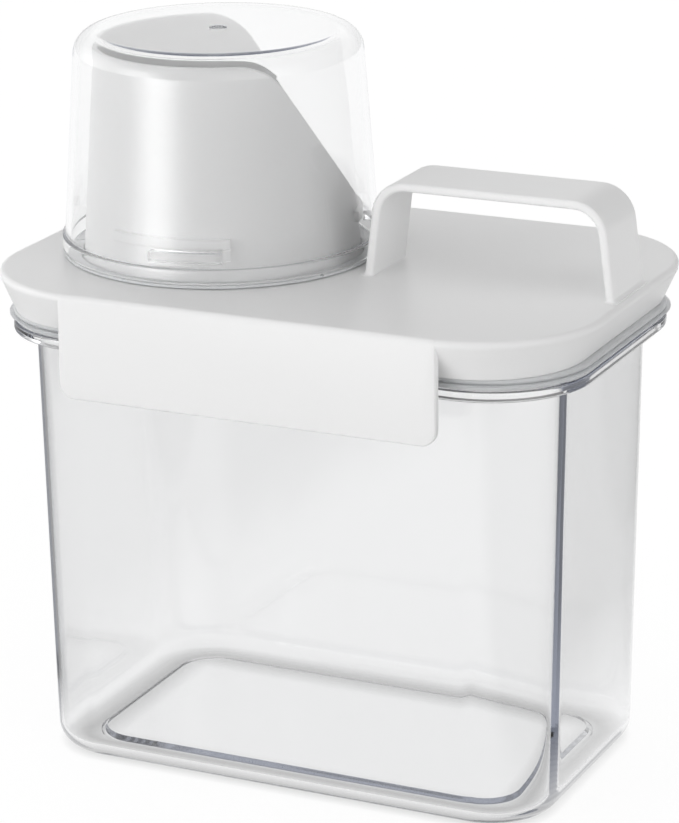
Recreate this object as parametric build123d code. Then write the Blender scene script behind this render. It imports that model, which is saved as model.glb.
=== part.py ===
from build123d import *
from math import atan, pi, radians, tan
import os

# Tub: sizes at the top of its wall
tub_width = 176.0
tub_depth = 107.2
tub_height = 142.0
tub_corner = 25.0
tub_inner_corner = 20.4
tub_wall = 2.4
tub_floor = 2.8
tub_draft = 1.0
base_round = 7.0

# Foot ring and the raised panel inside it
foot_width = 5.4
foot_recess = 1.2
recess_slope = 58.0
recess_corner = 14.0

# Rim of the tub
rim_reach = 7.0
rim_thickness = 3.4
rim_edge = 0.9

# Sealing ring between the rim and the lid
seat_gap = 0.3
gasket_height = 3.6
gasket_bead = 0.8

# Lid: how far its top and its skirt's lower edge stand out from the rim
lid_height = 12.8
lid_plate = 2.6
lid_wall = 2.2
lid_corner = 41.0
lid_side_overhang = 4.3
lid_front_overhang = 8.3
lid_edge = 1.6
skirt_corner = 31.5
skirt_side_inset = 2.0
skirt_front_overhang = 1.4

# Plug wall of the lid, inside the tub's mouth
plug_clearance = 0.5
plug_wall = 2.0
plug_reach = 2.4
plug_lead = 0.8

# Pull tab at the front of the lid
tab_width = 124.0
tab_length = 32.5
tab_thickness = 2.2
tab_corner = 5.0
tab_edge = 0.6

# Cup, standing mouth down
cup_radius = 49.5
cup_wall = 1.8
cup_height = 68.3
cup_draft = 4.2
cup_round = 7.0
cup_lip_reach = 0.6
cup_lip_height = 4.8
cup_lip_edge = 0.6
cup_margin = 9.0
gate_radius = 2.6
gate_depth = 0.5

# Sealing ring under the cup
seal_height = 0.9
seal_inset = 0.4

# Spout: an open tube with a flat lip on one side and a slanted cut on the other
spout_room = 4.4
spout_headroom = 2.7
spout_wall = 2.0
spout_draft = 4.2
spout_low_margin = 1.2
spout_lip_offset = 9.9
spout_cut_angle = 34.0
spout_cut_round = 18.0
spout_clearance = 0.4

# Twist lock: ridges on the spout, lugs inside the cup
lock_count = 3
lock_gap = 0.3
ridge_proud = 1.5
ridge_height = 3.2
ridge_span = 51.0
ridge_start = -111.0
stop_proud = 2.25
stop_span = 3.0
lug_height = 3.1
lug_span = 28.0
lug_rise = 5.9

# Strap handle, between the cup and the right edge of the lid
handle_gap = 4.0
handle_margin = 3.6
handle_height = 29.9
handle_width = 25.0
handle_thickness = 2.8
handle_round = 11.0
handle_lean = 4.0
handle_edge = 0.9
handle_foot = 1.2

# Heights and outlines that follow from the sizes above
rim_top = tub_height
gasket_bottom = rim_top + seat_gap
skirt_bottom = gasket_bottom + gasket_height
lid_top = skirt_bottom + lid_height
plate_bottom = lid_top - lid_plate
seal_bottom = lid_top + seat_gap
cup_bottom = seal_bottom + seal_height + seat_gap
cup_top = cup_bottom + cup_height
ridge_bottom = cup_bottom + lug_rise + lug_height + lock_gap
spout_top = cup_top - cup_wall - spout_headroom
spout_height = spout_top - lid_top
spout_low = ridge_bottom + ridge_height + spout_low_margin - lid_top

cup_lip_radius = cup_radius + cup_lip_reach
seal_radius = cup_lip_radius - seal_inset
spout_radius = cup_radius - cup_wall - spout_room
spout_slope = tan(radians(spout_draft))
lock_radius = spout_radius - (ridge_bottom - lid_top) * spout_slope
rim_width = tub_width + 2 * rim_reach
rim_depth = tub_depth + 2 * rim_reach
rim_corner = tub_corner + rim_reach
lid_width = rim_width + 2 * lid_side_overhang
lid_depth = rim_depth + 2 * lid_front_overhang
skirt_width = rim_width - 2 * skirt_side_inset
skirt_depth = rim_depth + 2 * skirt_front_overhang
skirt_lean = atan((lid_depth - skirt_depth) / 2 / lid_height)
edge_setback = lid_edge / tan(pi / 4 - skirt_lean / 2) - lid_edge
tab_front = edge_setback - lid_depth / 2

plug_bottom = rim_top - plug_reach
mouth_inset = tub_wall + plug_reach * tan(radians(tub_draft)) + plug_clearance
plug_width = tub_width - 2 * mouth_inset
plug_depth = tub_depth - 2 * mouth_inset
plug_corner = tub_corner - mouth_inset

spout_x = cup_lip_radius + cup_margin - lid_width / 2
handle_left = spout_x + cup_lip_radius + handle_gap
handle_right = lid_width / 2 - handle_margin


def outline(width, depth, corner, height, inset=0.0):
    """Rounded rectangle at a height, moved inwards by an inset."""
    shape = RectangleRounded(width - 2 * inset, depth - 2 * inset, corner - inset)
    return Pos(0, 0, height) * shape


def at_spout(shape):
    """Moves a shape from the origin's axis to the spout's axis."""
    return Pos(spout_x, 0, 0) * shape


def turned(points, rounds):
    """Solid of revolution from radius and height pairs, with some corners rounded."""
    section = make_face(Polyline(*points, close=True))
    for point, radius in rounds:
        section = fillet(section.vertices().sort_by_distance((*point, 0))[0], radius)
    return revolve(Plane.XZ * section, Axis.Z)


def sector(inner, outer, bottom, height, start, span):
    """Piece of a ring between two radii and two angles."""
    inner_arc = CenterArc((0, 0), inner, start, span)
    outer_arc = CenterArc((0, 0), outer, start, span)
    sides = [Line(inner_arc @ 0, outer_arc @ 0), Line(inner_arc @ 1, outer_arc @ 1)]
    return extrude(Pos(0, 0, bottom) * make_face([inner_arc, outer_arc, *sides]), height)


def around(shape):
    """Copies of a shape, evenly spaced about the axis."""
    return [Rot(0, 0, 360 / lock_count * index) * shape for index in range(lock_count)]


def tub_prism(bottom, top, inset, corner):
    """Drafted block that follows the tub's wall between two heights, with its corner at the rim."""
    step = (tub_height - bottom) * tan(radians(tub_draft))
    base = outline(tub_width, tub_depth, corner + inset, bottom, inset + step)
    return extrude(base, top - bottom, taper=-tub_draft)


def floor_panel(bottom):
    """Frustum of the raised panel in the floor."""
    step = tub_height * tan(radians(tub_draft)) + base_round + foot_width
    base = outline(tub_width - 2 * step, tub_depth - 2 * step, recess_corner, bottom)
    return extrude(base, foot_recess, taper=recess_slope)


def make_container():
    body = tub_prism(0, rim_top, 0, tub_corner)
    body = fillet(body.faces().sort_by(Axis.Z)[0].edges(), base_round)
    rim = extrude(outline(rim_width, rim_depth, rim_corner, rim_top - rim_thickness), rim_thickness)
    outer_edges = rim.faces().sort_by(Axis.Z)[0].edges() + rim.faces().sort_by(Axis.Z)[-1].edges()
    body += fillet(outer_edges, rim_edge)
    hollow = tub_prism(tub_floor, rim_top, tub_wall, tub_inner_corner)
    hollow = fillet(hollow.faces().sort_by(Axis.Z)[0].edges(), base_round - tub_wall)
    body -= hollow
    body += floor_panel(tub_floor)
    return body - floor_panel(0)


def make_gasket():
    bead = extrude(outline(rim_width, rim_depth, rim_corner, gasket_bottom), gasket_height / 2)
    bead = fillet(bead.faces().sort_by(Axis.Z)[0].edges(), gasket_bead)
    bead = fillet(bead.faces().sort_by(Axis.Z)[-1].edges(), gasket_bead)
    ring = bead + Pos(0, 0, gasket_height / 2) * bead
    return ring - extrude(outline(plug_width, plug_depth, plug_corner, gasket_bottom), gasket_height)


def make_lid_shell():
    top = outline(lid_width, lid_depth, lid_corner, lid_top)
    bottom = outline(skirt_width, skirt_depth, skirt_corner, skirt_bottom)
    shell = loft([bottom, top], ruled=True)
    shell = fillet(shell.faces().sort_by(Axis.Z)[-1].edges(), lid_edge)
    share = lid_plate / lid_height
    inner_top = outline(
        lid_width + share * (skirt_width - lid_width),
        lid_depth + share * (skirt_depth - lid_depth),
        lid_corner + share * (skirt_corner - lid_corner),
        plate_bottom,
        lid_wall,
    )
    inner_bottom = outline(skirt_width, skirt_depth, skirt_corner, skirt_bottom, lid_wall)
    return shell - loft([inner_bottom, inner_top], ruled=True)


def make_plug():
    length = plate_bottom - plug_bottom
    block = extrude(outline(plug_width, plug_depth, plug_corner, plug_bottom), length)
    block = chamfer(block.faces().sort_by(Axis.Z)[0].edges(), plug_lead)
    return block - extrude(outline(plug_width, plug_depth, plug_corner, plug_bottom, plug_wall), length)


def make_tab():
    plate = Rectangle(tab_width, tab_length, align=(Align.CENTER, Align.MAX))
    plate = fillet(plate.vertices().group_by(Axis.Y)[0], tab_corner)
    front = Plane((0, tab_front, lid_top), x_dir=(1, 0, 0), z_dir=(0, -1, 0))
    tab = extrude(front * plate, -tab_thickness)
    top_edge = tab.edges().filter_by(Axis.X).group_by(Axis.Z)[-1].sort_by(Axis.Y)[0]
    tab = fillet(top_edge, lid_edge)
    rim = tab.faces().sort_by(Axis.Y)[0].edges().filter_by_position(Axis.Z, 0, lid_top - 2 * lid_edge)
    return fillet(rim, tab_edge)


def strap_outline(inset):
    """Face of the handle's arch, moved inwards by an inset."""
    low = plate_bottom
    high = lid_top + handle_height - inset
    left = handle_left + inset
    right = handle_right - inset
    arch = make_face(
        Polyline((left, low), (left + handle_lean, high), (right - handle_lean, high), (right, low), close=True)
    )
    return fillet(arch.vertices().group_by(Axis.Y)[-1], handle_round - inset)


def make_handle():
    strap = strap_outline(0) - strap_outline(handle_thickness)
    strap = extrude(Plane.XZ * strap, handle_width / 2, both=True)
    sides = strap.edges().group_by(Axis.Y)
    rounded = [edge for edge in sides[0] + sides[-1] if edge.center().Z > lid_top]
    return fillet(rounded, handle_edge)


def spout_cone(radius, bottom, top):
    """Cone along the spout's axis that has the given radius at the top of the lid."""
    low = radius + (lid_top - bottom) * spout_slope
    high = radius - (top - lid_top) * spout_slope
    return Pos(0, 0, bottom) * Cone(low, high, top - bottom, align=(Align.CENTER, Align.CENTER, Align.MIN))


def make_spout():
    tube = spout_cone(spout_radius, plate_bottom, spout_top)
    reach = 2 * spout_radius
    low_reach = spout_radius - spout_low * spout_slope
    drop = (spout_height - spout_low) / (low_reach - spout_lip_offset)
    cut = make_face(
        Polyline(
            (-reach, spout_height),
            (spout_lip_offset, spout_height),
            (reach, spout_height - drop * (reach - spout_lip_offset)),
            (reach, spout_height + reach),
            (-reach, spout_height + reach),
            close=True,
        )
    )
    cut = fillet(cut.vertices().sort_by_distance((spout_lip_offset, spout_height, 0))[0], spout_cut_round)
    knife = extrude(Pos(0, 0, lid_top) * Plane.XZ * cut, reach, both=True)
    tube -= Rot(0, 0, spout_cut_angle) * knife
    inside = lock_radius - spout_wall / 2
    ridge = sector(inside, lock_radius + ridge_proud, ridge_bottom, ridge_height, ridge_start, ridge_span)
    stop_height = lug_height + lock_gap
    stop_start = ridge_start + ridge_span - stop_span
    stop_radius = lock_radius + stop_proud
    stop = sector(inside, stop_radius, ridge_bottom - stop_height, stop_height, stop_start, stop_span)
    return tube + around(ridge + stop)


def is_handle_foot(edge):
    """True for an edge where the handle meets the top of the lid."""
    middle = edge.center()
    on_top = abs(middle.Z - lid_top) < handle_foot / 2
    beside_strap = handle_left - handle_foot < middle.X < handle_right + handle_foot
    return on_top and beside_strap and abs(middle.Y) < handle_width


def make_lid():
    lid = make_lid_shell() + make_plug() + make_tab() + make_handle()
    lid = fillet(lid.edges().filter_by(is_handle_foot), handle_foot)
    lid += at_spout(make_spout())
    return lid - at_spout(spout_cone(spout_radius - spout_wall, plate_bottom, spout_top))


def make_cup():
    slope = tan(radians(cup_draft))
    top_radius = cup_radius - cup_height * slope
    lip_top = cup_bottom + cup_lip_height
    inner_top = cup_top - cup_wall
    section = [
        (0, cup_top - gate_depth),
        (gate_radius, cup_top - gate_depth),
        (gate_radius, cup_top),
        (top_radius, cup_top),
        (cup_radius - cup_lip_height * slope, lip_top),
        (cup_lip_radius, lip_top),
        (cup_lip_radius, cup_bottom),
        (cup_radius - cup_wall, cup_bottom),
        (top_radius - cup_wall, inner_top),
        (0, inner_top),
    ]
    rounds = [
        ((top_radius, cup_top), cup_round),
        ((top_radius - cup_wall, inner_top), cup_round - cup_wall),
        ((cup_lip_radius, lip_top), cup_lip_edge),
        ((cup_lip_radius, cup_bottom), cup_lip_edge),
    ]
    lug_inner = lock_radius + ridge_proud + lock_gap
    lug_start = ridge_start + ridge_span - stop_span - lug_span - lock_gap
    lug = sector(lug_inner, cup_radius - cup_wall / 2, cup_bottom + lug_rise, lug_height, lug_start, lug_span)
    return at_spout(turned(section, rounds) + around(lug))


def make_seal():
    inner = spout_radius + spout_clearance
    top = seal_bottom + seal_height
    section = [(inner, seal_bottom), (seal_radius, seal_bottom), (seal_radius, top), (inner, top)]
    return at_spout(turned(section, []))


os.makedirs("parts", exist_ok=True)
export_step(make_container(), "parts/container.step")
export_step(make_gasket(), "parts/lid_gasket.step")
export_step(make_lid(), "parts/lid.step")
export_step(make_cup(), "parts/cup.step")
export_step(make_seal(), "parts/cup_seal.step")
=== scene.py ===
from math import atan, cos, pi, radians, sin, sqrt, tan

import bmesh
import bpy
from mathutils import Matrix, Vector


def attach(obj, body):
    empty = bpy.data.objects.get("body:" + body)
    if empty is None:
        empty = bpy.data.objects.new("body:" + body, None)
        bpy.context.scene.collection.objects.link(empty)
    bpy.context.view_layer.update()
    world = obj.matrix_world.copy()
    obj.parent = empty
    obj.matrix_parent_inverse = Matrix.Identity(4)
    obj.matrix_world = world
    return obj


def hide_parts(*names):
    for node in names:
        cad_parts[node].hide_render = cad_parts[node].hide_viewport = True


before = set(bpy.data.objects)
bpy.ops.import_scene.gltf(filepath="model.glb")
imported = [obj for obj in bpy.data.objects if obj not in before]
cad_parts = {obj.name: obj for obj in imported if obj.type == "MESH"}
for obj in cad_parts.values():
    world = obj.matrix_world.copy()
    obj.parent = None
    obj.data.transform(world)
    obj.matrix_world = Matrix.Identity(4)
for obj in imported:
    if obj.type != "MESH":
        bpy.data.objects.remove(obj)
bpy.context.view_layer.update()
scene = bpy.context.scene
mm = 0.001  # the pieces and the camera are sized in millimetres, the floor in metres
print("frame loaded:", ", ".join(sorted(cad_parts)))


# node trees

class Wire:
    # one output socket; sums, products and so on add Math nodes to its tree
    def __init__(self, tree, socket=None):
        self.tree = tree
        self.socket = socket

    def add(self, kind, settings=None, inputs=None, out=0):
        node = self.tree.nodes.new(kind)
        for name, value in (settings or {}).items():
            setattr(node, name, value)
        for key, value in (inputs or {}).items():
            plug(self.tree, value, node.inputs[key])
        return Wire(self.tree, node.outputs[out])

    def math(self, operation, first, second=0.0):
        return self.add("ShaderNodeMath", {"operation": operation}, {0: first, 1: second})

    def __add__(self, other):
        return self.math("ADD", self, other)

    def __radd__(self, other):
        return self.math("ADD", other, self)

    def __sub__(self, other):
        return self.math("SUBTRACT", self, other)

    def __rsub__(self, other):
        return self.math("SUBTRACT", other, self)

    def __mul__(self, other):
        return self.math("MULTIPLY", self, other)

    def __rmul__(self, other):
        return self.math("MULTIPLY", other, self)

    def __truediv__(self, other):
        return self.math("DIVIDE", self, other)

    def __pow__(self, other):
        return self.math("POWER", self, other)

    def __abs__(self):
        return self.math("ABSOLUTE", self)

    def atLeast(self, other):
        return self.math("MAXIMUM", self, other)

    def atMost(self, other):
        return self.math("MINIMUM", self, other)

    def kept(self):
        # between 0 and 1
        return self.atLeast(0.0).atMost(1.0)


def plug(tree, value, target):
    if isinstance(value, Wire):
        tree.links.new(value.socket, target)
    else:
        target.default_value = value


def newMaterial(name):
    material = bpy.data.materials.new(name)
    material.use_nodes = True
    shader = material.node_tree.nodes["Principled BSDF"]
    return material, shader, Wire(material.node_tree)


def mixColours(wire, share, first, second, blend="MIX"):
    # sockets 6 and 7 are the colour pair of a Mix node, and output 2 its colour
    settings = {"data_type": "RGBA", "blend_type": blend}
    return wire.add("ShaderNodeMix", settings, {0: share, 6: first, 7: second}, out=2)


def addNoise(wire, spot, scale, detail, roughness=0.5):
    return wire.add("ShaderNodeTexNoise", None, {
        "Vector": spot, "Scale": scale, "Detail": detail, "Roughness": roughness,
    })


def addBump(wire, shader, strength, distance, height):
    bump = wire.add("ShaderNodeBump", None, {"Strength": strength, "Distance": distance, "Height": height})
    plug(wire.tree, bump, shader.inputs["Normal"])


def newShape(name, asks, gives):
    # Geometry Nodes tree with its named inputs and one geometry output
    tree = bpy.data.node_groups.new(name, "GeometryNodeTree")
    for label, kind in asks.items():
        tree.interface.new_socket(label, in_out="INPUT", socket_type="NodeSocket" + kind)
    tree.interface.new_socket(gives, in_out="OUTPUT", socket_type="NodeSocketGeometry")
    given = tree.nodes.new("NodeGroupInput")
    return tree, Wire(tree), {label: Wire(tree, given.outputs[label]) for label in asks}


def closeShape(wire, shape, material, gives):
    shape = wire.add("GeometryNodeRealizeInstances", None, {"Geometry": shape})
    shape = wire.add("GeometryNodeSetMaterial", None, {"Geometry": shape, "Material": material})
    result = wire.tree.nodes.new("NodeGroupOutput")
    plug(wire.tree, shape, result.inputs[gives])


# sections, rings and meshes

meshFinish = {"mergeDistance": 1e-7, "weldDistance": 1e-6, "sharpAngle": 40.0, "holdShare": 0.25}


def softened(corners, closed=False, steps=5, hold=0.5):
    # corners are (across, up, radius); a rounded one becomes an arc with a steadying point on both sides
    count = len(corners)
    points = [Vector(corner[:2]) for corner in corners]
    reaches = []
    for index, (_, _, radius) in enumerate(corners):
        ends = not closed and index in (0, count - 1)
        if radius == 0 or ends:
            reaches.append(0)
            continue
        back = points[index - 1] - points[index]
        ahead = points[(index + 1) % count] - points[index]
        reaches.append(radius / tan(back.angle(ahead) / 2))
    line = []
    for index, (_, _, radius) in enumerate(corners):
        here, reach = points[index], reaches[index]
        if reach == 0:
            line.append(here)
            continue
        after = (index + 1) % count
        back, ahead = points[index - 1] - here, points[after] - here
        spareBack = back.length - reach - reaches[index - 1]
        spareAhead = ahead.length - reach - reaches[after]
        half = back.angle(ahead) / 2
        back.normalize()
        ahead.normalize()
        centre = here + (back + ahead).normalized() * (radius / sin(half))
        firstArm, lastArm = here + back * reach - centre, here + ahead * reach - centre
        turn = pi - 2 * half
        line.append(here + back * (reach + min(hold, spareBack * meshFinish["holdShare"])))
        for step in range(steps + 1):
            part = turn * step / steps
            line.append(centre + (firstArm * sin(turn - part) + lastArm * sin(part)) / sin(turn))
        line.append(here + ahead * (reach + min(hold, spareAhead * meshFinish["holdShare"])))
    return line


def rectRing(width, depth, corner, height, steps=28, hold=1.5):
    # rounded rectangle with a steadying point beside each arc, so that flat walls shade flat
    ring = []
    for quarter, (sideX, sideY) in enumerate(((1, 1), (-1, 1), (-1, -1), (1, -1))):
        centre = Vector((sideX * (width / 2 - corner), sideY * (depth / 2 - corner), height))
        for step in range(-1, steps + 2):
            inside = min(max(step, 0), steps)
            angle = radians(90 * (quarter + inside / steps))
            arm = Vector((cos(angle), sin(angle), 0)) * corner
            along = Vector((-sin(angle), cos(angle), 0)) * hold
            ring.append(centre + arm + along * (step - inside))
    return ring


def addRings(bm, rings):
    rows = [[bm.verts.new(Vector(point) * mm) for point in ring] for ring in rings]
    for low, high in zip(rows, rows[1:]):
        for index, corner in enumerate(low):
            after = (index + 1) % len(low)
            bm.faces.new((corner, low[after], high[after], high[index]))
    return rows


def addCapped(bm, rings):
    rows = addRings(bm, rings)
    bm.faces.new(rows[0])
    bm.faces.new(rows[-1])
    return rows


def loopEdges(bm, row):
    return [bm.edges.get((row[index - 1], row[index])) for index in range(len(row))]


def smoothFaces(bm):
    bmesh.ops.remove_doubles(bm, verts=bm.verts, dist=meshFinish["mergeDistance"])
    bmesh.ops.recalc_face_normals(bm, faces=bm.faces)
    sharp = radians(meshFinish["sharpAngle"])
    for face in bm.faces:
        face.smooth = True
    for edge in bm.edges:
        edge.smooth = len(edge.link_faces) == 2 and edge.calc_face_angle() < sharp


def place(name, mesh, body):
    piece = bpy.data.objects.new(name, mesh)
    scene.collection.objects.link(piece)
    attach(piece, body)
    print("piece", name, "with", len(mesh.polygons), "faces on", body)
    return piece


def finishPiece(name, bm, material, body):
    smoothFaces(bm)
    mesh = bpy.data.meshes.new(name)
    bm.to_mesh(mesh)
    bm.free()
    mesh.materials.append(material)
    return place(name, mesh, body)


def nodesToMesh(name, source, tree, values):
    # runs a tree on a source mesh and returns the result as a plain mesh
    carrier = bpy.data.objects.new(name + "_source", source)
    scene.collection.objects.link(carrier)
    modifier = carrier.modifiers.new("shape", "NODES")
    modifier.node_group = tree
    for item in tree.interface.items_tree:
        if item.in_out == "INPUT" and item.name in values:
            modifier[item.identifier] = values[item.name]
    mesh = bpy.data.meshes.new_from_object(carrier.evaluated_get(bpy.context.evaluated_depsgraph_get()))
    mesh.name = name
    carrier.modifiers.remove(modifier)
    bpy.data.objects.remove(carrier)
    bm = bmesh.new()
    bm.from_mesh(mesh)
    smoothFaces(bm)
    bm.to_mesh(mesh)
    bm.free()
    return mesh


# finishes

noiseMiddle = 0.5  # what a Noise node gives on average
clearFinish = {
    "tubColour": (0.93, 0.931, 0.933, 1), "tubFaint": (0.92, 0.922, 0.925, 1),
    "cupColour": (0.985, 0.986, 0.987, 1), "cupFaint": (0.978, 0.98, 0.982, 1),
    "cloudScale": 28.0, "cloudDetail": 2.0, "ior": 1.5,
    "roughness": 0.012, "haze": 0.02, "scuffScale": 900.0, "scuffDetail": 3.0, "scuffRoughness": 0.6,
    "wave": 0.02, "waveHeight": 0.002, "waveScale": 14.0, "waveDetail": 1.0,
}


def makeClearPlastic(name, colour, faintColour):
    material, shader, wire = newMaterial(name)
    spot = wire.add("ShaderNodeTexCoord", out="Object")
    cloud = addNoise(wire, spot, clearFinish["cloudScale"], clearFinish["cloudDetail"])
    scuff = addNoise(
        wire, spot, clearFinish["scuffScale"], clearFinish["scuffDetail"], clearFinish["scuffRoughness"]
    )
    ripple = addNoise(wire, spot, clearFinish["waveScale"], clearFinish["waveDetail"])
    plug(wire.tree, mixColours(wire, cloud, colour, faintColour), shader.inputs["Base Color"])
    rough = clearFinish["roughness"] + clearFinish["haze"] * (scuff - noiseMiddle).atLeast(0.0)
    plug(wire.tree, rough, shader.inputs["Roughness"])
    shader.inputs["Transmission Weight"].default_value = 1.0
    shader.inputs["IOR"].default_value = clearFinish["ior"]
    addBump(wire, shader, clearFinish["wave"], clearFinish["waveHeight"], ripple)
    return material


whiteFinish = {
    "colour": (0.9, 0.9, 0.9, 1), "shade": (0.88, 0.88, 0.88, 1), "flowScale": 18.0, "flowDetail": 3.0,
    "roughness": 0.32, "spread": 0.1, "specular": 0.3,
    "grain": 0.12, "grainHeight": 0.00004, "grainScale": 2600.0, "grainDetail": 2.0,
}


def makeWhitePlastic(name):
    material, shader, wire = newMaterial(name)
    spot = wire.add("ShaderNodeTexCoord", out="Object")
    flow = addNoise(wire, spot, whiteFinish["flowScale"], whiteFinish["flowDetail"])
    grain = addNoise(wire, spot, whiteFinish["grainScale"], whiteFinish["grainDetail"])
    colour = mixColours(wire, flow, whiteFinish["shade"], whiteFinish["colour"])
    plug(wire.tree, colour, shader.inputs["Base Color"])
    rough = whiteFinish["roughness"] + whiteFinish["spread"] * (flow - noiseMiddle)
    plug(wire.tree, rough, shader.inputs["Roughness"])
    shader.inputs["Specular IOR Level"].default_value = whiteFinish["specular"]
    addBump(wire, shader, whiteFinish["grain"], whiteFinish["grainHeight"], grain)
    return material


sealFinish = {
    "colour": (0.93, 0.94, 0.95, 1), "shade": (0.89, 0.905, 0.92, 1), "roughness": 0.3, "leastShare": 0.6,
    "clearShare": 0.35, "ior": 1.42,
    "bloom": 0.05, "bloomHeight": 0.0003, "bloomScale": 160.0, "bloomDetail": 3.0,
}


def makeSealRubber(name):
    material, shader, wire = newMaterial(name)
    spot = wire.add("ShaderNodeTexCoord", out="Object")
    bloom = addNoise(wire, spot, sealFinish["bloomScale"], sealFinish["bloomDetail"])
    colour = mixColours(wire, bloom, sealFinish["shade"], sealFinish["colour"])
    plug(wire.tree, colour, shader.inputs["Base Color"])
    rough = sealFinish["roughness"] * (sealFinish["leastShare"] + bloom)
    plug(wire.tree, rough, shader.inputs["Roughness"])
    shader.inputs["Transmission Weight"].default_value = sealFinish["clearShare"]
    shader.inputs["IOR"].default_value = sealFinish["ior"]
    addBump(wire, shader, sealFinish["bloom"], sealFinish["bloomHeight"], bloom)
    return material


clearTub = makeClearPlastic("clearTub", clearFinish["tubColour"], clearFinish["tubFaint"])
clearCup = makeClearPlastic("clearCup", clearFinish["cupColour"], clearFinish["cupFaint"])
whiteLid = makeWhitePlastic("whiteLid")
sealRubber = makeSealRubber("sealRubber")
print("finishes made")


# tub

tub = {
    "width": 176.0, "depth": 107.2, "height": 142.0, "corner": 25.0, "innerCorner": 20.4, "wall": 2.4,
    "floor": 2.8, "draft": 1.0, "baseRound": 7.0, "footWidth": 5.4, "floorInset": 10.6,
    "rimReach": 7.0, "rimThickness": 3.4, "rimEdge": 0.9, "rimFoot": 0.5, "innerEdge": 0.3, "innerRun": 1.0,
    "panelRise": 1.2, "panelSlope": 58.0, "panelCorner": 14.0, "panelEdge": 0.4, "panelApron": 1.2,
    "panelRun": 5.0, "arcSteps": 8,
}


def wallRing(point, corner=tub["corner"]):
    # corner is the radius where the wall's outer face meets the rim
    across, up = point
    return rectRing(tub["width"] + 2 * across, tub["depth"] + 2 * across, corner + across, up)


def makeTub():
    lean = tan(radians(tub["draft"]))
    top, floor, wall = tub["height"], tub["floor"], tub["wall"]
    rimBottom = top - tub["rimThickness"]
    panelInset = top * lean + tub["baseRound"] + tub["footWidth"]
    slopeRun = tub["panelRise"] * tan(radians(tub["panelSlope"]))

    def panelRing(point, lift):
        inset = panelInset + point[0]
        corner = tub["panelCorner"] - point[0]
        return rectRing(tub["width"] - 2 * inset, tub["depth"] - 2 * inset, corner, point[1] + lift)

    panel = softened([
        (-tub["panelApron"], 0, 0),
        (0, 0, tub["panelEdge"]),
        (slopeRun, tub["panelRise"], tub["panelEdge"]),
        (slopeRun + tub["panelRun"], tub["panelRise"], 0),
    ])
    outside = softened([
        (-tub["floorInset"], 0, 0),
        (-top * lean, 0, tub["baseRound"]),
        (-tub["rimThickness"] * lean, rimBottom, tub["rimFoot"]),
        (tub["rimReach"], rimBottom, tub["rimEdge"]),
        (tub["rimReach"], top, tub["rimEdge"]),
        (0, top, 0),
    ], steps=tub["arcSteps"])
    inside = softened([
        (tub["innerRun"] - wall, top, 0),
        (-wall, top, tub["innerEdge"]),
        (-wall - (top - floor) * lean, floor, tub["baseRound"] - wall),
        (-tub["floorInset"], floor, 0),
    ], steps=tub["arcSteps"])
    rings = [panelRing(point, 0) for point in reversed(panel)]
    rings += [wallRing(point) for point in outside]
    rings += [wallRing(point, tub["innerCorner"] + wall) for point in inside]
    rings += [panelRing(point, floor) for point in panel]
    bm = bmesh.new()
    addCapped(bm, rings)
    piece = finishPiece("clear_tub", bm, clearTub, "container")
    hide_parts("container")


makeTub()


# sealing rings: one section swept along a rounded path

def makeSweepTree():
    tree, wire, asked = newShape("sweptRing", {
        "Section": "Geometry", "Width": "Float", "Depth": "Float", "Corner": "Float", "Centre": "Vector",
        "Corner Points": "Int", "Material": "Material",
    }, "Ring")
    path = wire.add("GeometryNodeCurvePrimitiveQuadrilateral", None, {
        "Width": asked["Width"], "Height": asked["Depth"],
    })
    path = wire.add("GeometryNodeFilletCurve", {"mode": "POLY"}, {
        "Curve": path, "Count": asked["Corner Points"], "Radius": asked["Corner"], "Limit Radius": True,
    })
    path = wire.add("GeometryNodeSetCurveNormal", {"mode": "Z_UP"}, {"Curve": path})
    section = wire.add("GeometryNodeMeshToCurve", None, {"Mesh": asked["Section"]})
    ring = wire.add("GeometryNodeCurveToMesh", None, {"Curve": path, "Profile Curve": section})
    ring = wire.add("GeometryNodeTransform", None, {"Geometry": ring, "Translation": asked["Centre"]})
    ring = wire.add("GeometryNodeMergeByDistance", None, {
        "Geometry": ring, "Distance": meshFinish["weldDistance"],
    })
    ring = wire.add("GeometryNodeSetShadeSmooth", None, {"Geometry": ring})
    closeShape(wire, ring, asked["Material"], "Ring")
    return tree


def sectionMesh(name, line):
    # the sweep lays a section's second axis downwards
    mesh = bpy.data.meshes.new(name)
    edges = [(index, (index + 1) % len(line)) for index in range(len(line))]
    mesh.from_pydata([(point[0] * mm, -point[1] * mm, 0) for point in line], edges, [])
    return mesh


sweepTree = makeSweepTree()
gasket = {
    "bottom": 142.3, "outer": 7.0, "inner": -2.94, "innerRound": 0.2, "beads": 2, "bead": 1.8, "round": 0.8,
    "beadGap": 0.02, "grooveRound": 0.05, "arcSteps": 4, "hold": 0.1, "cornerPoints": 18,
}


def makeGasket():
    inner, outer, low = gasket["inner"], gasket["outer"], gasket["bottom"]
    corners = [(inner, low, gasket["innerRound"])]
    for index in range(gasket["beads"]):
        low = gasket["bottom"] + gasket["bead"] * index
        high = low + gasket["bead"]
        corners.append((outer, low + gasket["beadGap"], gasket["round"]))
        corners.append((outer, high - gasket["beadGap"], gasket["round"]))
        if index + 1 < gasket["beads"]:
            corners.append((outer - gasket["round"], high, gasket["grooveRound"]))
    corners.append((inner, gasket["bottom"] + gasket["bead"] * gasket["beads"], gasket["innerRound"]))
    line = softened(corners, closed=True, steps=gasket["arcSteps"], hold=gasket["hold"])
    mesh = nodesToMesh("lid_gasket_ring", sectionMesh("gasketSection", line), sweepTree, {
        "Width": tub["width"] * mm, "Depth": tub["depth"] * mm, "Corner": tub["corner"] * mm,
        "Corner Points": gasket["cornerPoints"], "Material": sealRubber,
    })
    piece = place("lid_gasket_ring", mesh, "lid")
    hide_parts("lid_gasket")


makeGasket()

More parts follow.
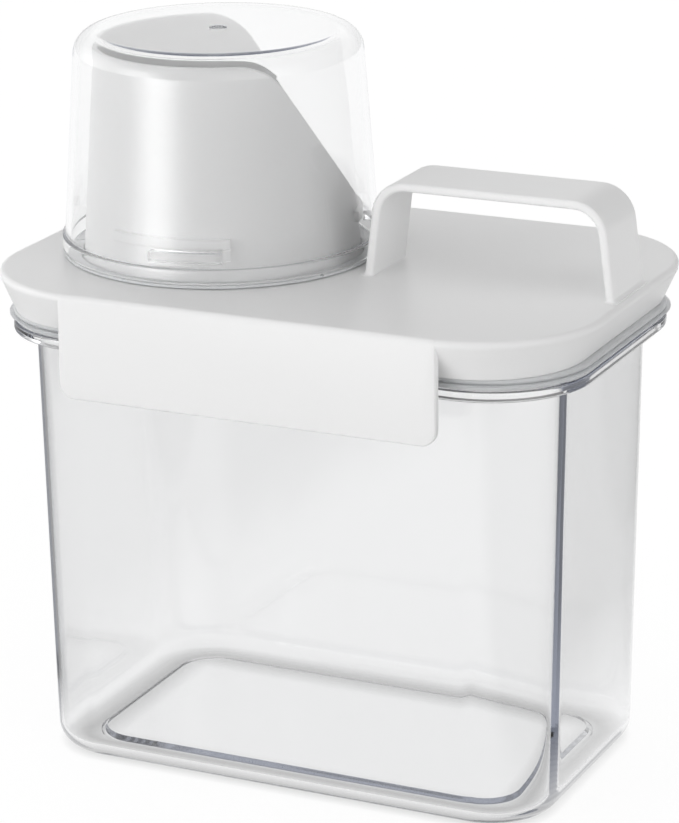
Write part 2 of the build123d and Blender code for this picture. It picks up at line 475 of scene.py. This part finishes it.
spoutAxis = Vector((-40.2, 0, 0))
cupSeal = {
    "bottom": 159.0, "height": 0.9, "inner": 43.7, "outer": 49.7, "round": 0.25, "arcSteps": 3, "hold": 0.1,
    "cornerPoints": 36,
}


def makeCupSeal():
    low, high = cupSeal["bottom"], cupSeal["bottom"] + cupSeal["height"]
    middle = (cupSeal["inner"] + cupSeal["outer"]) / 2
    inner, outer = cupSeal["inner"] - middle, cupSeal["outer"] - middle
    line = softened([
        (inner, low, cupSeal["round"]),
        (outer, low, cupSeal["round"]),
        (outer, high, cupSeal["round"]),
        (inner, high, cupSeal["round"]),
    ], closed=True, steps=cupSeal["arcSteps"], hold=cupSeal["hold"])
    mesh = nodesToMesh("cup_seal_ring", sectionMesh("cupSealSection", line), sweepTree, {
        "Width": 2 * middle * mm, "Depth": 2 * middle * mm, "Corner": middle * mm, "Centre": spoutAxis * mm,
        "Corner Points": cupSeal["cornerPoints"], "Material": sealRubber,
    })
    piece = place("cup_seal_ring", mesh, "cup_ring")
    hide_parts("cup_seal")


makeCupSeal()


# lid with its spout: one shell

lid = {
    "bottom": 145.9, "top": 158.7, "plate": 2.6, "wall": 2.2, "topEdge": 1.6, "skirtEdge": 0.4,
    "width": 198.6, "depth": 137.8, "corner": 41.0, "topRun": 6.0,
    "skirtWidth": 186.0, "skirtDepth": 124.0, "skirtCorner": 31.5, "insideRound": 1.0, "insideRun": 5.0,
    "plugInset": 2.94, "plugWall": 2.0, "plugBottom": 139.6, "plugRun": 1.5, "plugRoot": 0.6, "plugLead": 0.8,
    "plugTip": 0.4,
}
spout = {
    "radius": 43.3, "wall": 2.0, "draft": 4.2, "top": 224.0, "low": 173.9, "lipOffset": 9.9, "cutAngle": 34.0,
    "cutRound": 18.0, "cutRounds": 4, "edge": 0.45, "edgeHold": 3, "edgeTurns": (30, 60, 90),
    "foot": 0.6, "footRun": 60.0, "footRise": 6.0, "boreHold": 0.5, "columns": 180,
}


def skirtRing(point):
    # the skirt leans out from its lower edge to the lid's top, a little more at the front than at the sides
    across, up = point
    side = (lid["width"] - lid["skirtWidth"]) / 2
    frontShare = (lid["depth"] - lid["skirtDepth"]) / 2 / side
    cornerShare = (lid["corner"] - lid["skirtCorner"]) / side
    return rectRing(
        lid["skirtWidth"] + 2 * across,
        lid["skirtDepth"] + 2 * across * frontShare,
        lid["skirtCorner"] + across * cornerShare,
        up,
    )


def spoutRadius(height):
    return spout["radius"] - (height - lid["top"]) * tan(radians(spout["draft"]))


def spoutPoint(angle, radius, height):
    return spoutAxis + Vector((radius * cos(angle), radius * sin(angle), height))


def cutHeight(along):
    # height of the spout's slanted rim at a distance along the pouring direction
    slope = (spout["top"] - spout["low"]) / (spoutRadius(spout["low"]) - spout["lipOffset"])
    tilt = atan(slope)
    reach = spout["cutRound"] * tan(tilt / 2)
    start = spout["lipOffset"] - reach
    end = spout["lipOffset"] + reach * cos(tilt)
    if along <= start:
        return spout["top"]
    if along >= end:
        return spout["top"] - slope * (along - spout["lipOffset"])
    return spout["top"] - spout["cutRound"] + sqrt(spout["cutRound"] ** 2 - (along - start) ** 2)


def spoutColumn(angle):
    across = cos(angle - radians(spout["cutAngle"]))
    height = spout["top"]
    for _ in range(spout["cutRounds"]):  # the rim's height and radius settle on each other
        height = cutHeight(spoutRadius(height) * across)
    outer = spoutRadius(height)
    edge, wall, base = spout["edge"], spout["wall"], lid["top"]
    footTop = base + spout["footRise"]
    foot = softened([
        (outer + spout["footRun"], base, 0),
        (spout["radius"], base, spout["foot"]),
        (spoutRadius(footTop), footTop, 0),
    ])[1:-1]
    column = [spoutPoint(angle, *point) for point in foot]
    rim = [(0, spout["edgeHold"] * edge), (0, edge)]
    for turn in spout["edgeTurns"]:
        rim.append((edge * (1 - cos(radians(turn))), edge * (1 - sin(radians(turn)))))
    rim += [(wall - inset, drop) for inset, drop in reversed(rim)]
    for inset, drop in rim:
        level = cutHeight((outer - inset) * across) - drop
        column.append(spoutPoint(angle, spoutRadius(level) - inset, level))
    for level in (base, base - lid["plate"] + spout["boreHold"], base - lid["plate"]):
        column.append(spoutPoint(angle, spoutRadius(level) - wall, level))
    return column


def makeLidShell():
    plateBottom = lid["top"] - lid["plate"]
    side = (lid["width"] - lid["skirtWidth"]) / 2
    insideTop = side * (plateBottom - lid["bottom"]) / (lid["top"] - lid["bottom"]) - lid["wall"]
    skirt = softened([
        (side - lid["topRun"], lid["top"], 0),
        (side, lid["top"], lid["topEdge"]),
        (0, lid["bottom"], lid["skirtEdge"]),
        (-lid["wall"], lid["bottom"], lid["skirtEdge"]),
        (insideTop, plateBottom, lid["insideRound"]),
        (-lid["insideRun"], plateBottom, 0),
    ])
    inset, wall = -lid["plugInset"], lid["plugWall"]
    stopper = softened([
        (inset + lid["plugRun"], plateBottom, 0),
        (inset, plateBottom, lid["plugRoot"]),
        (inset, lid["plugBottom"], lid["plugLead"]),
        (inset - wall, lid["plugBottom"], lid["plugTip"]),
        (inset - wall, plateBottom, 0),
    ])
    bm = bmesh.new()
    rows = addRings(bm, [skirtRing(point) for point in skirt] + [wallRing(point) for point in stopper])
    count = spout["columns"]
    columns = [spoutColumn(2 * pi * index / count) for index in range(count)]
    tube = addRings(bm, list(zip(*columns)))
    for outer, inner, up in ((rows[0], tube[0], 1), (rows[-1], tube[-1], -1)):
        edges = loopEdges(bm, outer) + loopEdges(bm, inner)
        bmesh.ops.triangle_fill(bm, use_beauty=True, use_dissolve=False, edges=edges, normal=(0, 0, up))
    piece = finishPiece("lid_shell", bm, whiteLid, "lid")
    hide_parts("lid")


makeLidShell()


# twist lock: ridges repeated around the spout

lock = {
    "count": 3, "proud": 1.5, "bottom": 169.5, "height": 3.2, "span": 51.0, "start": -111.0, "edge": 0.4,
    "stopProud": 2.25, "stopSpan": 3.0, "stopHeight": 3.4, "stopRoot": 0.1, "facet": 3.0, "arcSteps": 3,
}


def makeAroundTree():
    tree, wire, asked = newShape("aroundSpout", {
        "Shape": "Geometry", "Count": "Int", "Axis": "Vector", "Material": "Material",
    }, "Copies")
    points = wire.add("GeometryNodePoints", None, {"Count": asked["Count"], "Position": asked["Axis"]})
    turn = wire.add("GeometryNodeInputIndex") * (2 * pi) / asked["Count"]
    turn = wire.add("ShaderNodeCombineXYZ", None, {"Z": turn})
    turn = wire.add("FunctionNodeEulerToRotation", None, {"Euler": turn})
    copies = wire.add("GeometryNodeInstanceOnPoints", None, {
        "Points": points, "Instance": asked["Shape"], "Rotation": turn,
    })
    closeShape(wire, copies, asked["Material"], "Copies")
    return tree


def addSector(bm, radii, levels, start, span):
    # part of a ring with its outer edges rounded
    (inner, outer), (low, high), edge = radii, levels, lock["edge"]
    corners = [(inner, low, 0), (outer, low, edge), (outer, high, edge), (inner, high, 0)]
    line = softened(corners, closed=True, steps=lock["arcSteps"])
    steps = max(2, round(span / lock["facet"]))
    rings = []
    for step in range(steps + 1):
        angle = radians(start + span * step / steps)
        rings.append([(point[0] * cos(angle), point[0] * sin(angle), point[1]) for point in line])
    addCapped(bm, rings)


def makeLockRidges():
    low, high = lock["bottom"], lock["bottom"] + lock["height"]
    inner = spoutRadius(low) - spout["wall"] / 2
    outer = spoutRadius(low) + lock["proud"]
    stopRadii = (inner - lock["stopRoot"], outer - lock["proud"] + lock["stopProud"])
    stopStart = lock["start"] + lock["span"] - lock["stopSpan"]
    bm = bmesh.new()
    addSector(bm, (inner, outer), (low, high), lock["start"], lock["span"])
    addSector(bm, stopRadii, (low - lock["stopHeight"], low + lock["edge"]), stopStart, lock["stopSpan"])
    bmesh.ops.recalc_face_normals(bm, faces=bm.faces)
    source = bpy.data.meshes.new("ridgeSource")
    bm.to_mesh(source)
    bm.free()
    mesh = nodesToMesh("spout_lock_ridges", source, makeAroundTree(), {
        "Count": lock["count"], "Axis": spoutAxis * mm, "Material": whiteLid,
    })
    place("spout_lock_ridges", mesh, "lid")


makeLockRidges()


# strap handle

handle = {
    "left": 13.9, "right": 95.7, "low": 156.1, "top": 188.6, "lean": 4.0, "thickness": 2.8, "width": 25.0,
    "round": 11.0, "archSteps": 12, "archHold": 2.0, "edge": 0.9, "edgeSteps": 4, "edgeHold": 0.3,
    "foot": 1.2, "footTurns": (0, 15, 30, 45, 60, 75, 90), "footSink": 0.05, "footEdgeShare": 0.5,
    "rootRise": 1.0, "legRise": 2.5,
}


def strapRing(centre, outward, grow=0.0):
    thick, wide = handle["thickness"] / 2 + grow, handle["width"] / 2 + grow
    edge = handle["edge"] + grow * handle["footEdgeShare"]
    corners = [(-thick, -wide, edge), (thick, -wide, edge), (thick, wide, edge), (-thick, wide, edge)]
    line = softened(corners, closed=True, steps=handle["edgeSteps"], hold=handle["edgeHold"])
    return [(centre.x + outward.x * point[0], point[1], centre.y + outward.y * point[0]) for point in line]


def makeHandle():
    half = handle["thickness"] / 2
    low, high = handle["low"], handle["top"] - half
    left, right = handle["left"] + half, handle["right"] - half
    arch = softened([
        (left, low, 0),
        (left + handle["lean"], high, handle["round"] - half),
        (right - handle["lean"], high, handle["round"] - half),
        (right, low, 0),
    ], steps=handle["archSteps"], hold=handle["archHold"])
    # each leg flares out into the lid's top
    feet = [(low + handle["rootRise"], handle["foot"])]
    for turn in handle["footTurns"]:
        rise = handle["foot"] * (1 - cos(radians(turn)))
        feet.append((lid["top"] - handle["footSink"] + rise, handle["foot"] * (1 - sin(radians(turn)))))
    feet.append((lid["top"] + handle["legRise"], 0))
    rings = []
    leg = (arch[1] - arch[0]).normalized()
    outward = Vector((-leg.y, leg.x))
    for level, grow in feet:
        rings.append(strapRing(arch[0] + leg * ((level - low) / leg.y), outward, grow))
    for before, here, after in zip(arch, arch[1:], arch[2:]):
        along = (after - here).normalized() + (here - before).normalized()
        along.normalize()
        rings.append(strapRing(here, Vector((-along.y, along.x))))
    leg = (arch[-2] - arch[-1]).normalized()
    outward = Vector((leg.y, -leg.x))
    for level, grow in reversed(feet):
        rings.append(strapRing(arch[-1] + leg * ((level - low) / leg.y), outward, grow))
    bm = bmesh.new()
    addCapped(bm, rings)
    finishPiece("strap_handle", bm, whiteLid, "lid")


makeHandle()


# pull tab

tab = {
    "width": 124.0, "length": 32.5, "thickness": 2.2, "corner": 5.0, "edge": 0.6, "front": -67.82,
    "topEdge": 1.6, "topCorner": 0.5, "topProud": 0.02, "blendStart": 4.0, "blendRise": 2.2,
    "arcSteps": 6, "hold": 0.8, "edgeTurns": (0, 15, 30, 45, 60, 75, 90),
}


def tabRing(turn, back=None):
    # the edge turns from the front face to the side, wider along the top where the tab runs into the lid
    side, top = tab["edge"] * (1 - sin(turn)), tab["topEdge"] * (1 - sin(turn))
    high, low = lid["top"] + tab["topProud"] - top, lid["top"] - tab["length"] + side
    half, corner, topCorner = tab["width"] / 2 - side, tab["corner"] - side, tab["topCorner"]
    line = softened([
        (-half, low, corner), (half, low, corner), (half, high, topCorner), (-half, high, topCorner),
    ], closed=True, steps=tab["arcSteps"], hold=tab["hold"])
    ring = []
    for point in line:
        upper = min(max((point.y - lid["top"] + tab["blendStart"]) / tab["blendRise"], 0), 1)
        depth = (tab["edge"] + (tab["topEdge"] - tab["edge"]) * upper) * (1 - cos(turn))
        ring.append((point.x, tab["front"] + depth if back is None else back, point.y))
    return ring


def makeTab():
    rings = [tabRing(radians(turn)) for turn in tab["edgeTurns"]]
    rings.append(tabRing(pi / 2, tab["front"] + tab["thickness"]))
    bm = bmesh.new()
    addCapped(bm, rings)
    finishPiece("pull_tab", bm, whiteLid, "lid")


makeTab()


# measuring cup

cup = {
    "radius": 49.5, "wall": 1.8, "bottom": 160.2, "height": 68.3, "draft": 4.2, "round": 7.0,
    "lipRadius": 50.1, "lipHeight": 4.8, "lipEdge": 0.6, "lipFoot": 0.5, "mouthEdge": 0.3,
    "gateRadius": 2.6, "gateDepth": 0.5, "gateEdge": 0.24, "middle": 0.4, "arcSteps": 8, "columns": 180,
}
lug = {"count": 3, "inner": 44.31, "bottom": 166.1, "height": 3.1, "start": -91.3, "span": 28.0}


def addLug(bm, lower, upper, angles):
    # the wall's own faces make way for a lug that stands in from it
    inner = []
    for level in (lug["bottom"], lug["bottom"] + lug["height"]):
        inner.append([bm.verts.new(spoutPoint(angle, lug["inner"], level) * mm) for angle in angles])
    for index in range(len(angles) - 1):
        after = index + 1
        bm.faces.remove(bm.faces.get((lower[index], lower[after], upper[after], upper[index])))
        bm.faces.new((inner[0][index], inner[0][after], inner[1][after], inner[1][index]))
        bm.faces.new((lower[index], lower[after], inner[0][after], inner[0][index]))
        bm.faces.new((upper[index], upper[after], inner[1][after], inner[1][index]))
    for end in (0, -1):
        bm.faces.new((lower[end], upper[end], inner[1][end], inner[0][end]))


def makeCup():
    slope = tan(radians(cup["draft"]))
    low, high, wall = cup["bottom"], cup["bottom"] + cup["height"], cup["wall"]
    lipTop = low + cup["lipHeight"]
    topRadius = cup["radius"] - cup["height"] * slope
    shell = softened([
        (cup["middle"], high - cup["gateDepth"], 0),
        (cup["gateRadius"], high - cup["gateDepth"], cup["gateEdge"]),
        (cup["gateRadius"], high, cup["gateEdge"]),
        (topRadius, high, cup["round"]),
        (cup["radius"] - cup["lipHeight"] * slope, lipTop, cup["lipFoot"]),
        (cup["lipRadius"], lipTop, cup["lipEdge"]),
        (cup["lipRadius"], low, cup["lipEdge"]),
        (cup["radius"] - wall, low, cup["mouthEdge"]),
        (topRadius - wall, high - wall, cup["round"] - wall),
        (cup["middle"], high - wall, 0),
    ], steps=cup["arcSteps"])
    lugLevels = (lug["bottom"], lug["bottom"] + lug["height"])
    lugRows = [Vector((cup["radius"] - wall - (level - low) * slope, level)) for level in lugLevels]
    mouth = max(index for index, point in enumerate(shell) if point.y < lug["bottom"])
    section = shell[:mouth + 1] + lugRows + shell[mouth + 1:]
    count = cup["columns"]
    angles = [radians(lug["start"] + 360 * index / count) for index in range(count)]
    bm = bmesh.new()
    rows = addCapped(bm, [[spoutPoint(angle, point.x, point.y) for angle in angles] for point in section])
    lower, upper = rows[mouth + 1], rows[mouth + 2]
    across = round(lug["span"] * count / 360)
    for first in range(0, count, count // lug["count"]):
        taken = slice(first, first + across + 1)
        addLug(bm, lower[taken], upper[taken], angles[taken])
    piece = finishPiece("measuring_cup", bm, clearCup, "cup")
    piece.visible_shadow = False  # clear plastic lets the light through to the spout
    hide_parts("cup")


makeCup()


# camera

view = {
    "azimuth": 25.96, "elevation": 17.99, "roll": -0.90, "distance": 1109.4, "acrossTarget": -12.59,
    "upTarget": 109.5, "focalPixels": 3542.9, "imageHeight": 823, "axisLeft": 38.8, "axisDown": 0.3,
    "sensor": 36.0,
}


def makeCamera():
    azimuth, elevation, roll = (radians(view[name]) for name in ("azimuth", "elevation", "roll"))
    right = Vector((cos(azimuth), sin(azimuth), 0))
    back = Vector((sin(azimuth) * cos(elevation), -cos(azimuth) * cos(elevation), sin(elevation)))
    up = back.cross(right)
    target = right * view["acrossTarget"] + Vector((0, 0, view["upTarget"]))
    position = (target + back * view["distance"]) * mm
    turnedRight = right * cos(roll) + up * sin(roll)
    turnedUp = up * cos(roll) - right * sin(roll)
    matrix = Matrix((turnedRight, turnedUp, back)).transposed().to_4x4()
    matrix.translation = position
    data = bpy.data.cameras.new("photoCamera")
    data.sensor_width = view["sensor"]
    data.lens = view["focalPixels"] * view["sensor"] / view["imageHeight"]
    data.shift_x = view["axisLeft"] / view["imageHeight"]
    data.shift_y = view["axisDown"] / view["imageHeight"]
    camera = bpy.data.objects.new("photoCamera", data)
    camera.matrix_world = matrix
    scene.collection.objects.link(camera)
    scene.camera = camera
    print("camera at", [round(value, 4) for value in position])


makeCamera()


# light by the path of a ray

insideKeep = (0.952, 0.955, 0.963)  # red, green and blue kept by each turn inside clear plastic


def pathKinds(wire):
    # straight: not mirrored, or turned once inside clear plastic; turns: the further turns in there
    path = wire.tree.nodes.new("ShaderNodeLightPath")
    names = ("Is Camera Ray", "Is Glossy Ray", "Is Transmission Ray", "Diffuse Depth", "Glossy Depth",
             "Transmission Depth")
    camera, glossy, through, matt, gloss, clear = (Wire(wire.tree, path.outputs[name]) for name in names)
    seen = camera.atLeast(glossy).atLeast(through) * (1 - matt.atMost(1.0))
    inside = clear.atMost(1.0)
    spare = (gloss - inside).atLeast(0.0)
    return {
        "seen": seen,
        "straight": seen * (1 - spare.atMost(1.0)),
        "turns": seen * spare * inside,
        "mirrored": seen * gloss.atMost(1.0),
    }


def dimmed(wire, turns):
    red, green, blue = (wire.math("POWER", keep, turns) for keep in insideKeep)
    return wire.add("ShaderNodeCombineColor", None, {"Red": red, "Green": green, "Blue": blue})


def towardsLight(wire, direction, towards, tightness):
    # 1 straight at the light, and less the further off
    middle = Vector(towards).normalized()
    settings = {"operation": "DOT_PRODUCT"}
    facing = wire.add("ShaderNodeVectorMath", settings, {0: direction, 1: middle}, out="Value")
    return facing.atLeast(0.0) ** tightness


# floor, in metres

floorSheet = {
    "side": 8.0, "colour": (0.88, 0.88, 0.88, 1), "glow": 0.94, "shadow": (0.09, 0.09, 0.09, 1),
    # the next keys set painted light for mirrored rays: painted dark patches beside the end walls and a
    # painted pool of light at the front left
    "paintedDarkEdge": 0.095, "paintedDarkSoftness": 0.04, "paintedDarkDepth": 0.62,
    "poolStart": 0.45, "poolSoftness": 0.25, "poolTowards": (-0.39, -0.92, 0), "poolTightness": 24.0,
    "poolStrength": 3.4,
    # the contact keys set a painted shadow: a band under the tub's foot where the floor's glow is painted
    # darker
    "contactWidth": 0.0855, "contactDepth": 0.0511, "contactCorner": 0.0225, "contactInset": 0.0105,
    "contactReach": 0.011, "contactShade": 0.46,
}


def paintedMirrorLight(wire, spot, sideways):
    # for mirrored rays only: painted dark patches on the floor beside both end walls, and a painted pool of
    # light at the far front left
    reach = wire.add("ShaderNodeVectorMath", {"operation": "LENGTH"}, {0: spot}, out="Value")
    heading = wire.add("ShaderNodeVectorMath", {"operation": "NORMALIZE"}, {0: spot})
    far = ((reach - floorSheet["poolStart"]) / floorSheet["poolSoftness"]).kept()
    beside = ((sideways - floorSheet["paintedDarkEdge"]) / floorSheet["paintedDarkSoftness"]).kept()
    paintedDark = floorSheet["paintedDarkDepth"] * beside * (1 - far)
    pool = towardsLight(wire, heading, floorSheet["poolTowards"], floorSheet["poolTightness"])
    return pool * far * floorSheet["poolStrength"] - paintedDark


def paintedContactShadow(sideways, frontways):
    # painted shadow: the floor's glow is painted darker in a band under the foot, along a rounded rectangle
    corner = floorSheet["contactCorner"]
    pastSide = sideways - (floorSheet["contactWidth"] - corner)
    pastFront = frontways - (floorSheet["contactDepth"] - corner)
    outside = (pastSide.atLeast(0.0) ** 2 + pastFront.atLeast(0.0) ** 2) ** 0.5
    away = outside + pastSide.atLeast(pastFront).atMost(0.0) - (corner - floorSheet["contactInset"])
    return (1 - abs(away) / floorSheet["contactReach"]).atLeast(0.0)


def makeFloor():
    material, shader, wire = newMaterial("paleFloor")
    tree = wire.tree
    tree.nodes.remove(shader)
    path = pathKinds(wire)
    spot = wire.add("ShaderNodeTexCoord", out="Object")
    split = wire.add("ShaderNodeVectorMath", {"operation": "ABSOLUTE"}, {0: spot})
    sideways = wire.add("ShaderNodeSeparateXYZ", None, {0: split}, out="X")
    frontways = wire.add("ShaderNodeSeparateXYZ", None, {0: split}, out="Y")
    # painted light and painted shade in the floor's glow
    strength = floorSheet["glow"] + path["mirrored"] * paintedMirrorLight(wire, spot, sideways)
    # painted shadow under the foot, taken off the floor's glow
    strength = strength - paintedContactShadow(sideways, frontways) * floorSheet["contactShade"]
    lit = wire.add("ShaderNodeBsdfDiffuse", None, {"Color": floorSheet["colour"]})
    shade = wire.add("ShaderNodeBsdfDiffuse", None, {"Color": floorSheet["shadow"]})
    glow = wire.add("ShaderNodeEmission", None, {"Color": dimmed(wire, path["turns"]), "Strength": strength})
    both = wire.add("ShaderNodeAddShader", None, {0: glow, 1: shade})
    mixed = wire.add("ShaderNodeMixShader", None, {0: path["seen"], 1: lit, 2: both})
    plug(tree, mixed, tree.nodes["Material Output"].inputs["Surface"])
    half = floorSheet["side"] / 2
    corners = [(-half, -half, 0), (half, -half, 0), (half, half, 0), (-half, half, 0)]
    mesh = bpy.data.meshes.new("floor")
    mesh.from_pydata(corners, [], [(0, 1, 2, 3)])
    mesh.materials.append(material)
    floor = bpy.data.objects.new("floor", mesh)
    scene.collection.objects.link(floor)
    print("floor laid")


makeFloor()


# studio light in the world

studio = {"sky": 0.3, "white": (1, 1, 1, 1), "bounces": 96, "mirrorBounces": 72}
softboxes = {
    "overhead": {"towards": (0, 0, 1), "tightness": 8.0, "strength": 0.68},
    "front left": {"towards": (-0.61, -0.78, 0.02), "tightness": 24.0, "strength": 5.2},
    "left side": {"towards": (-0.95, -0.24, 0.02), "tightness": 6.0, "strength": 2.3},
    "right fill": {"towards": (0.8, -0.55, 0.05), "tightness": 6.0, "strength": 2.05},
    "backdrop": {"towards": (-0.44, 0.9, 0.3), "tightness": 8.0, "strength": 0.75},
}


def makeWorld():
    world = bpy.data.worlds.new("studio")
    world.use_nodes = True
    scene.world = world
    tree = world.node_tree
    wire = Wire(tree)
    path = pathKinds(wire)
    direction = wire.add("ShaderNodeTexCoord", out="Generated")
    light = studio["sky"]
    for box in softboxes.values():
        light = light + towardsLight(wire, direction, box["towards"], box["tightness"]) * box["strength"]
    grey = wire.add("ShaderNodeCombineColor", None, {"Red": light, "Green": light, "Blue": light})
    lit = mixColours(wire, 1.0, grey, dimmed(wire, path["turns"]), "MULTIPLY")
    colour = mixColours(wire, path["straight"], lit, studio["white"])
    plug(tree, colour, tree.nodes["Background"].inputs["Color"])
    print("softboxes:", ", ".join(softboxes))


makeWorld()
scene.view_settings.view_transform = "Standard"
scene.cycles.max_bounces = studio["bounces"]  # clear walls turn a ray many times
scene.cycles.transmission_bounces = studio["bounces"]
scene.cycles.glossy_bounces = studio["mirrorBounces"]
print("stage and light made")
